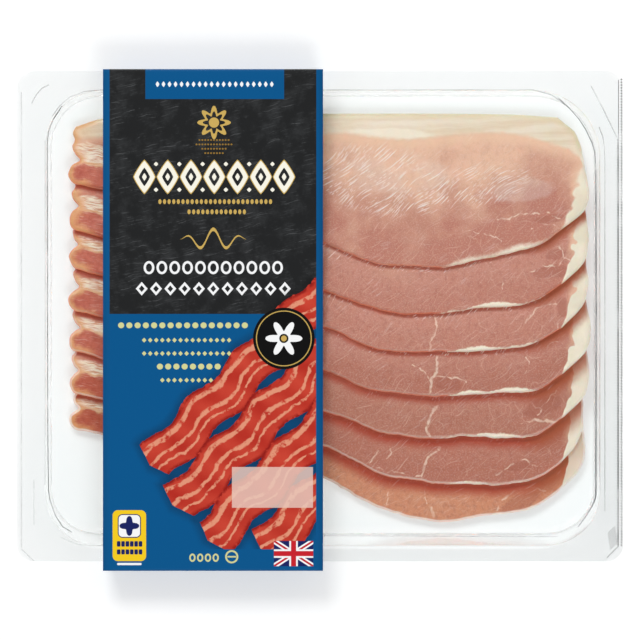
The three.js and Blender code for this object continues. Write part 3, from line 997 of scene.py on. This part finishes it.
def rasherMaterial(index):
    number = index + 1
    material, solid = newMaterial(f"baconMeat{number}")
    look = meatLook
    seed = look["seed"] * number
    x, y, _ = parted(solid)
    level = joined(x, y)
    at = warped(level, 6, 1.6, seed)
    fat, front, crease, rim = [attribute(at.tree, name) for name in ("fat", "front", "crease", "rim")]
    lean, mottle, fine = leanColour(at, index, front, seed)

    # Marbling: thin pale lines over the lean, and the drawn veins
    drawn = drawnVeins(level, number, seed + 3)
    hairs = place(strokes, warped(level, 14, 7.0, seed + 4, detail=0.0), *look["hairs"], seed + 5)
    net = membranes(level, seed + 13) * (x.smooth(10, 70) * 0.75 + 0.25)

    # The tail is tan at its very end
    tail = (x * -1).smooth(*look["tailSpan"])
    lobe, strip, stripColour = tailColour(at, index, front, fine, mottle, seed + 6)
    ends = (rim + (fine - 0.5) * 2 + (mottle - 0.5) * 5).smooth(3.8, 0.6)
    ends = ends * (x * -1 + (mottle - 0.5) * 9).smooth(*look["tanSpan"]) * tail

    peach = (fat + (mottle - 0.5) * 4).smooth(-7, -0.6) * front.smooth(7, 18) * 0.66
    fatMask = (fat + (fine - 0.5) * 1.5).smooth(*look["fatEdge"][index])
    colour = layered(
        lean,
        (hairs.atLeast(net * 0.7) * 0.45, look["marbling"]),
        (drawn * 0.74, look["veinFat"]),
        (tail * 0.9, lobe),
        (tail * strip * 0.95, stripColour),
        (peach, look["peach"]),
        (fatMask, fatColour(at, index, x, y, front, rim, mottle, seed + 8)),
        (ends * 0.85, look["tailTan"]),
    )

    # Painted shadow: red-brown shade under the edge of the rasher above. A pale rim on the cut edge is a
    # painted highlight
    if index:
        wings = x.smooth(*look["wingSpan"])
        middle = look["creaseShadeDepth"][index] - look["tailShadeDepth"]
        depth = wings * look["wingShadeDepth"] + tail.reverse() * middle + look["tailShadeDepth"]
        least = look["creaseShadeShare"][index]
        share = wings.atLeast(tail) * (look["fullShadeShare"] - least) + least
        share = share * (fatMask * look["shadeOffFat"][index]).reverse()
        shade = (crease + (fine - 0.5) * 1.2 - 0.5).smooth(depth, depth * 0.15)
        colour = blended(shade * share, colour, blended(wings, look["crease"], look["wingShadow"]))
    bare = fatMask.reverse()
    # Painted glow: the bare lean's thin cut edge and the crease under the rasher above glow, though they are
    # no lamp
    glow = rim.smooth(0.9, 0.2) * bare
    if index:
        glow = glow.atLeast(crease.smooth(1.5, 0.2))

    # Painted highlights: white glints in streaks where the fibres lift, and flecks of glint just under the
    # edge of the rasher above
    bent = warped(level, 18, 6.0, seed + 9, detail=0.0)
    glint = place(strokes, bent, *look["glintStrokes"], seed + 10)
    fleckGlints = place(strokes, bent, *look["fleckGlints"], seed + 11)
    zone = noise(level, 9, seed=seed + 12).smooth(0.52, 0.7) * 0.2
    if number in glintZones:
        zone = zone.atLeast(anyIsland(level, glintZones[number]))
    near = crease.smooth(3.0, 1.0) * wings.reverse() if index else zone
    near = near * noise(level, 7, seed=seed + 14).smooth(0.4, 0.6) * look["fleckGlintShare"][index]
    shine = (glint * zone).atLeast(fleckGlints * near) * bare * tail.reverse()
    material.cycles.emission_sampling = "NONE"
    return dress(material, {
        "Base Color": layered(
            colour,
            # Painted highlight: a pale rim along the cut edge
            (rim.smooth(1.2, 0.7) * look["rimHighlightShare"][index], look["sheen"]),
            # Painted shade: the bare lean's outermost cut edge is reddened so its shadow line reads red-brown
            (rim.smooth(0.7, 0.1) * bare * look["edgeShare"][index], look["edgeShadeRed"]),
            (shine * 0.8, look["glint"]),
        ),
        "Emission Color": blended(glow, look["noGlow"], look["paintedGlow"]),
        "Roughness": shine * -0.25 + (fine * 0.22 + 0.36),
        "Normal": bump(fine * 0.6 + shine * 0.4, look["relief"]),
        **meatSurface,
    })


for index in range(rasherSizes["count"]):
    points, faces, attributes = rasherMesh(index)
    materials = [rasherMaterial(index)]
    piece = makePiece(f"baconRasher{index + 1}", points, faces, materials, attributes=attributes)
    finishPiece(piece, "bacon", f"rasher_{index + 1}")
print("rashers made")

# Card sleeve: its section is a flat top, an upright lip, a side that leans in and a flat base
sleeveLow, sleeveHigh = [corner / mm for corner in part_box("sleeve")]
sleeveSizes = {"baseHalfSpan": 94, "card": 0.45, "lip": 2.6, "fold": 1.1, "foldSteps": 7, "topSteps": 40,
               "slices": 24, "crown": 0.05}


def sleeveSection(inset):
    s = sleeveSizes
    halfSpan = sleeveHigh.y
    top = sleeveHigh.z
    lean = (halfSpan - s["baseHalfSpan"]) / (top - s["lip"])
    side = inset * math.hypot(1, lean)
    folds = [
        (halfSpan - inset, top - inset),
        (halfSpan - inset, top - s["lip"] + (side - inset) / lean),
        (s["baseHalfSpan"] + lean * inset - side, inset),
    ]
    corners = np.array([(-y, z) for y, z in folds] + folds[::-1])
    radius = s["fold"] - inset
    points = []
    for i, corner in enumerate(corners):
        before = corners[i - 1] - corner
        after = corners[(i + 1) % len(corners)] - corner
        start = corner + before / np.linalg.norm(before) * radius
        end = corner + after / np.linalg.norm(after) * radius
        for t in np.linspace(0, 1, s["foldSteps"] + 1):
            points.append((1 - t) ** 2 * start + 2 * t * (1 - t) * corner + t * t * end)
    flatTop = np.linspace(points[-1], points[0], s["topSteps"] + 1)[1:-1]
    return np.concatenate([points, flatTop])


def makeSleeve(printed, plain):
    outer = sleeveSection(0)
    inner = sleeveSection(sleeveSizes["card"])
    around = len(outer)
    xs = np.linspace(sleeveLow.x, sleeveHigh.x, sleeveSizes["slices"] + 1)
    rings = [np.column_stack([np.full(around, x), outer]) for x in xs]
    rings += [np.column_stack([np.full(around, x), inner]) for x in xs[::-1]]
    count = len(rings)
    faces = ringBands(count, around, closed=True)
    outside = sleeveSizes["slices"] * around
    marks = [0 if number < outside else 1 for number in range(len(faces))]
    piece = makePiece("cardSleeve", np.concatenate(rings), [face[::-1] for face in faces], [printed, plain],
                      faceMaterials=marks)
    finishPiece(piece, "printed_card", "sleeve")


def plainCard():
    material, at = newMaterial("plainCardInside")
    fibre = noise(at, 0.7, detail=4.0, roughness=0.7, deep=True)
    return dress(material, {
        "Base Color": blended(fibre.smooth(0.3, 0.75), paint(214, 211, 203), paint(192, 188, 179)),
        "Roughness": fibre * 0.2 + 0.7,
        "Normal": bump(fibre, 0.04),
    })


# Node groups for print
printEdge = 0.09


def inked(distance):
    return distance.smooth(printEdge, -printEdge)


def buildPrintBox(at, centre, size, corner):
    half = size.vector("SCALE", scale=0.5)
    x, y, _ = parted(at.vector("SUBTRACT", centre).vector("ABSOLUTE").vector("SUBTRACT", half))
    outX = (x + corner).atLeast(0.0)
    outY = (y + corner).atLeast(0.0)
    out = (outX * outX + outY * outY).calc("SQRT") - corner
    return inked(out + (x.atLeast(y) + corner).atMost(0.0))


def buildPrintDisc(at, centre, radius):
    return inked(at.vector("DISTANCE", centre, output=1) - radius)


# A row of like marks from Start, Count times Pitch apart. Power 1 gives lozenges, 2 ovals, 5 dashes.
def buildPrintRow(at, start, pitch, count, size, power):
    x, y, _ = parted(at.vector("SUBTRACT", start))
    halfX, halfY, _ = parted(size.vector("SCALE", scale=0.5))
    steps = (x / pitch).calc("ROUND").atLeast(0.0).atMost(count - 1)
    ratioX = abs((x - steps * pitch) / halfX).calc("POWER", power)
    ratioY = abs(y / halfY).calc("POWER", power)
    reach = (ratioX + ratioY).calc("POWER", power.calc("POWER", -1.0))
    return inked((reach - 1) * halfY)


def buildPrintPetals(at, centre, radius, count, depth):
    x, y, _ = parted(at.vector("SUBTRACT", centre))
    angle = y.calc("ARCTAN2", x)
    limit = ((angle * count).calc("COSINE") - 1) * depth * 0.5 + 1
    return inked((x * x + y * y).calc("SQRT") - limit * radius)


def buildPrintWave(at, start, length, height, waveLength, thickness):
    x, y, _ = parted(at.vector("SUBTRACT", start))
    swell = ((x / length).atLeast(0.0).atMost(1.0) * math.pi).calc("SINE")
    middle = (x / waveLength * (2 * math.pi)).calc("SINE") * height * swell
    return inked(abs(y - middle) - swell * thickness * 0.5) * swell.smooth(0.0, 0.1)


printKinds = {
    "box": makeGroup("printBox", buildPrintBox, "Centre", "Size", "Corner"),
    "disc": makeGroup("printDisc", buildPrintDisc, "Centre", "Radius"),
    "row": makeGroup("printRow", buildPrintRow, "Start", "Pitch", "Count", "Size", "Power"),
    "petals": makeGroup("printPetals", buildPrintPetals, "Centre", "Radius", "Count", "Depth"),
    "wave": makeGroup("printWave", buildPrintWave, "Start", "Length", "Height", "WaveLength", "Thickness"),
}
inks = {ink: paint(*tone) for ink, tone in {
    "blue": (0, 85, 140),
    "slate": (32, 33, 34),
    "slateLight": (80, 82, 84),
    "slatePale": (116, 118, 120),
    "ivory": (250, 247, 232),
    "white": (248, 249, 250),
    "gold": (205, 172, 92),
    "goldDeep": (150, 116, 52),
    "cream": (214, 214, 150),
    "black": (10, 10, 11),
    "yellow": (246, 205, 30),
    "navy": (22, 34, 96),
    "red": (200, 32, 44),
    "boxPale": (236, 205, 192),
    "stripLean": (180, 42, 30),
    "stripPale": (206, 70, 52),
    "stripEdge": (146, 26, 20),
    "stripFat": (232, 160, 128),
}.items()}


# Like shapes on one spot, from the bottom up, given as ink and measures between what they share
def stacked(kind, spot, layers):
    return [(ink, kind, *spot[:-1], *sizes, *spot[-1]) for ink, *sizes in layers]


# Plain shapes of the print, from the bottom layer up: ink, kind, and its measures in millimetres
printedShapes = [
    ("white", "row", (-67, 97.2), 2.48, 20, (1.5, 2.3), 1.2),
    ("gold", "petals", (-43.7, 81.4), 6.9, 8, 0.42),
    ("slate", "petals", (-43.7, 81.4), 4.6, 8, 0.42),
    ("gold", "disc", (-43.7, 81.4), 2.1),
    *[("goldDeep", "row", (x, y), 1.2, count, (0.8, 0.7), 2.0)
      for x, y, count in [(-49.7, 74.2, 11), (-50.9, 72.4, 13), (-48.5, 70.6, 9), (-47.3, 68.8, 7)]],
    *stacked("row", ((-72.4, 59), 9.6, 7, (1.15,)), [("gold", (9.3, 14.3)), ("ivory", (8.5, 13.2)),
                                                     ("slate", (4.6, 7.6)), ("ivory", (1.9, 3.2))]),
    *[("ivory", "row", (-67.6, y), 9.6, 6, (1.8, 1.8), 1.2) for y in (64.3, 53.7)],
    *[("gold", "row", (x, y), 1.9, count, (1.3, 2.0), 2.0)
      for x, y, count in [(-66, 48.8, 25), (-54, 44.6, 13)]],
    ("gold", "wave", (-58, 33.2), 28, 4.2, 11.2, 1.5),
    *stacked("row", ((-70.5, 21.6), 5.3, 11, (2.0,)), [("white", (4.4, 5.4)), ("slate", (2.5, 3.5))]),
    *stacked("row", ((-73.5, 12.9), 5.9, 11, (1.0,)), [("white", (4.9, 5.6)), ("slate", (2.4, 2.8))]),
]
lowerShapes = [
    *[("cream", "row", (x, y), 3.4, count, (2.5, 2.4), 2.0)
      for x, y, count in [(-82, -2.2, 16), (-66, -19.2, 8)]],
    *[("cream", "row", (x, y), 2.5, count, (1.8, 1.9), 1.1)
      for x, y, count in [(-72.5, -8.3, 15), (-72.5, -13.8, 15), (-65, -24.8, 9)]],
    *stacked("disc", ((-14.9, -7.6), ()), [("black", 12.7), ("gold", 11.5), ("black", 11.1)]),
    ("white", "petals", (-14.9, -7.6), 7.6, 6, 0.6),
    *stacked("disc", ((-14.9, -7.6), ()), [("black", 1.9), ("gold", 1.2)]),
    ("yellow", "box", (-78.6, -88.9), (13.8, 21), 2.2),
    ("navy", "box", (-78.6, -84.9), (9.6, 9.8), 2.0),
    ("white", "box", (-78.6, -84.9), (8.8, 9), 1.6),
    ("navy", "petals", (-78.6, -84.9), 4.1, 4, 0.5),
    ("navy", "row", (-83, -92.3), 1.8, 6, (1.5, 2.3), 5.0),
    ("navy", "row", (-83, -95.6), 1.8, 6, (1.5, 2.1), 5.0),
    ("white", "box", (-78.6, -100.6), (10, 0.9), 0.3),
    *stacked("row", ((-52.6, -98), 3.2, 4, (2.0,)), [("cream", (2.6, 3.4)), ("blue", (1.3, 2))]),
    *stacked("disc", ((-36.4, -97.6), ()), [("cream", 2.7), ("blue", 2)]),
    ("cream", "box", (-36.4, -97.6), (3.6, 0.6), 0.1),
]
# Streaky rashers of the printed picture
pictureLook = {
    "turn": math.radians(45),
    "wave": (1.5, 27),  # height and length
    "waveShift": 1.9,  # from one strip to the next
    "crimp": 12.5,
    # Middle, half width, first and last point along each strip
    "strips": [(6.2, 8.6, -92, 13), (-12.6, 8.9, -97, 40), (-31.6, 8.7, -97, 40), (-50.4, 8.6, -84, 40)],
    # Lines of fat along a strip: place across it, and the distances where a line fades and is full
    "fatLines": [(-0.62, 0.15, 0.08), (0.08, 0.11, 0.05), (0.5, 0.08, 0.03)],
    "window": ((-44.6, -38.5), (85.9, 112), 0.0),
    "raggedness": 1.6,
    "roundEnd": 3,
    "shadow": 4.5,
    "shadowShare": 0.45,
    "fatShare": 0.85,
}
flagLook = {
    "centre": (-10.9, -96.3),
    "size": (16.2, 10.4),
    "diagonals": [(1.05, "white"), (0.4, "red")],  # half width and ink
    "cross": [(1.75, "white"), (1.05, "red")],
}
cardLook = {
    "face": (-1.4, -1.2),  # from the sleeve's top, where the print of the face begins
    "panel": ((-44.15, 53.2), (85.3, 101.4), 0.0),
    "tab": ((-43.4, 97.5), (57.2, 12.8), 0.0),
    "paleBox": ((-19.6, -69), (33.4, 16.8), 0.0),
    "paleShare": 0.72,
    "between": ((-44.15, 0), (85.3, 400), 0.0),  # the print between the sleeve's two blue edges
    "scratches": (0.25, 7.0, 0.5, 4.0),
    "cracks": (0.2, 9.0, 1.7, 0.14, 6.0),
}


def printed(at, kind, *measures):
    return place(printKinds[kind], at, *measures)


def drawPicture(at, colour):
    p = pictureLook
    x, y, _ = parted(at)
    along = x * math.cos(p["turn"]) + y * math.sin(p["turn"])
    across = y * math.cos(p["turn"]) - x * math.sin(p["turn"])
    window = printed(at, "box", *p["window"])
    rough = noise(at, 3.4, detail=4.0, roughness=0.6, seed=7.0)
    broad = noise(at, 11, detail=3.0, seed=8.0)
    height, length = p["wave"]
    shapes = []
    for number, (middle, half, start, end) in enumerate(p["strips"]):
        bend = ((along * (2 * math.pi / length)) + number * p["waveShift"]).calc("SINE") * height
        share = (across + bend + (rough - 0.5) * p["raggedness"] - middle) / half
        sides = (abs(share) - 1) * half
        reach = sides.atLeast(along * -1 + start + abs(share) * p["roundEnd"]).atLeast(along - end)
        shapes.append((share, reach))
    for share, reach in shapes:
        colour = blended(reach.smooth(p["shadow"], -1) * window * p["shadowShare"], colour, inks["black"])
    for number, (share, reach) in enumerate(shapes):
        crimp = ((along * (2 * math.pi / p["crimp"])) + share * 1.2 + number).calc("SINE") * 0.5 + 0.5
        meat = blended((crimp * 0.5 + broad * 0.9 - 0.2).clamped(), inks["stripLean"], inks["stripPale"])
        streak = share + (broad - 0.5) * 0.5
        lines = strongest([abs(streak + shift).smooth(fades, full) for shift, fades, full in p["fatLines"]])
        meat = layered(
            meat,
            (lines * rough.smooth(0.3, 0.5) * p["fatShare"], inks["stripFat"]),
            (abs(share).smooth(0.78, 0.97) * rough.smooth(0.36, 0.5), inks["stripEdge"]),
        )
        colour = blended(inked(reach) * window, colour, meat)
    return colour


def drawFlag(at, colour):
    width, height = flagLook["size"]
    x, y, _ = parted(at.vector("SUBTRACT", flagLook["centre"]))
    slant = math.hypot(width, height)
    rising = (x * height - y * width) / slant
    falling = (x * height + y * width) / slant
    diagonal = abs(rising).atMost(abs(falling))
    cross = abs(x).atMost(abs(y))
    flag = layered(
        inks["navy"],
        *[(inked(diagonal - half), inks[ink]) for half, ink in flagLook["diagonals"]],
        *[(inked(cross - half), inks[ink]) for half, ink in flagLook["cross"]],
    )
    return blended(printed(at, "box", flagLook["centre"], flagLook["size"], 0.0), colour, flag)


def printedCard():
    look = cardLook
    material, solid = newMaterial("printedCard")
    x, y, z = parted(solid)
    at = joined(x, y)
    scratch = place(fibres, at, *look["scratches"])
    cloud = noise(at, 9, detail=5.0, roughness=0.7, seed=2.0)
    cracks = place(strokes, warped(at, 9, 3.0, 3.0), *look["cracks"])
    slate = layered(
        inks["slate"],
        (cloud.smooth(0.4, 0.8) * 0.26, inks["slateLight"]),
        (scratch.smooth(0.55, 0.8) * cloud.smooth(0.4, 0.6) * 0.5, inks["slateLight"]),
        (cracks * cloud.smooth(0.42, 0.6) * 0.45, inks["slatePale"]),
    )
    onFace = z.smooth(*[sleeveHigh.z + depth for depth in look["face"]])
    colour = blended(printed(at, "box", *look["panel"]) * onFace, inks["blue"], slate)
    colour = blended(printed(at, "box", *look["tab"]), colour, inks["blue"])
    for ink, kind, *measures in printedShapes:
        fill = slate if ink == "slate" else inks[ink]
        colour = blended(printed(at, kind, *measures) * onFace, colour, fill)
    colour = blended(onFace, colour, drawPicture(at, colour))
    pale = printed(at, "box", *look["paleBox"]) * onFace
    colour = blended(pale * look["paleShare"], colour, inks["boxPale"])
    for ink, kind, *measures in lowerShapes:
        colour = blended(printed(at, kind, *measures) * onFace, colour, inks[ink])
    colour = blended(onFace, colour, drawFlag(at, colour))
    colour = blended(printed(at, "box", *look["between"]), inks["blue"], colour)
    speck = noise(solid, 0.5, detail=2.0, roughness=0.7, deep=True)
    return dress(material, {
        "Base Color": colour,
        "Roughness": speck * 0.12 + 0.4,
        "Normal": bump(speck, 0.012),
        "Specular IOR Level": 0.12,
    })


makeSleeve(printedCard(), plainCard())
print("sleeve made")

# Stage, camera and light
stageLook = {
    "size": 3.0,
    "floor": (paint(222, 222, 222), paint(219, 220, 220)),
    "glowTint": (paint(255, 255, 255), paint(252, 252, 252)),
    "glow": 0.36,
    "drop": 0.1,
    "height": 1.8,
    "spanAcross": 0.264,
}
# Two large soft lights, each with its place, size and power, and a glow all round
lightLook = {
    "keyLight": ((-0.7, 2.0, 2.3), (1.3, 0.9), 44),
    "fillLight": ((0.6, -1.9, 2.4), (1.3, 0.9), 25),
    "around": 0.62,
    "overhead": 0.05,
    "capEdge": (0.93, 0.8),  # the dimmer cap's edge, as sines of its elevation
}


def makeStage():
    half = stageLook["size"] / 2 / mm
    corners = [(x * half, y * half, -stageLook["drop"]) for x, y in [(-1, -1), (1, -1), (1, 1), (-1, 1)]]
    material, at = newMaterial("paleFloor")
    fine = noise(at, 40)
    dress(material, {
        "Base Color": blended(fine, *stageLook["floor"]),
        "Emission Color": blended(fine, *stageLook["glowTint"]),
        "Emission Strength": stageLook["glow"],
        "Roughness": 0.9,
    })
    makePiece("floor", corners, [(0, 1, 2, 3)], [material], smooth=False)


def makeCamera():
    data = bpy.data.cameras.new("overheadCamera")
    data.sensor_width = 36
    data.lens = data.sensor_width * stageLook["height"] / stageLook["spanAcross"]
    data.clip_end = 20
    camera = bpy.data.objects.new("overheadCamera", data)
    camera.location = (0, 0, stageLook["height"] + trayHigh.z * mm)
    scene.collection.objects.link(camera)
    scene.camera = camera


def makeLight(name):
    spot, size, power = lightLook[name]
    data = bpy.data.lights.new(name, "AREA")
    data.shape = "RECTANGLE"
    data.size, data.size_y = size
    data.energy = power
    light = bpy.data.objects.new(name, data)
    light.location = spot
    light.rotation_euler = (-light.location).to_track_quat("-Z", "Y").to_euler()
    scene.collection.objects.link(light)


def makeWorld():
    world = bpy.data.worlds.new("softStudio")
    world.use_nodes = True
    scene.world = world
    background = world.node_tree.nodes["Background"]
    height = parted(newNode(world.node_tree, "TexCoord", {}, "Generated"))[2]
    background.inputs["Color"].default_value = (1, 1, 1, 1)
    glow = height.smooth(*lightLook["capEdge"]) * (lightLook["around"] - lightLook["overhead"])
    feed(background.inputs["Strength"], glow + lightLook["overhead"])


makeStage()
makeCamera()
makeLight("keyLight")
makeLight("fillLight")
makeWorld()
scene.view_settings.view_transform = "Standard"
scene.cycles.transparent_max_bounces = 48  # many thin clear layers lie on top of each other

print("scene ready")
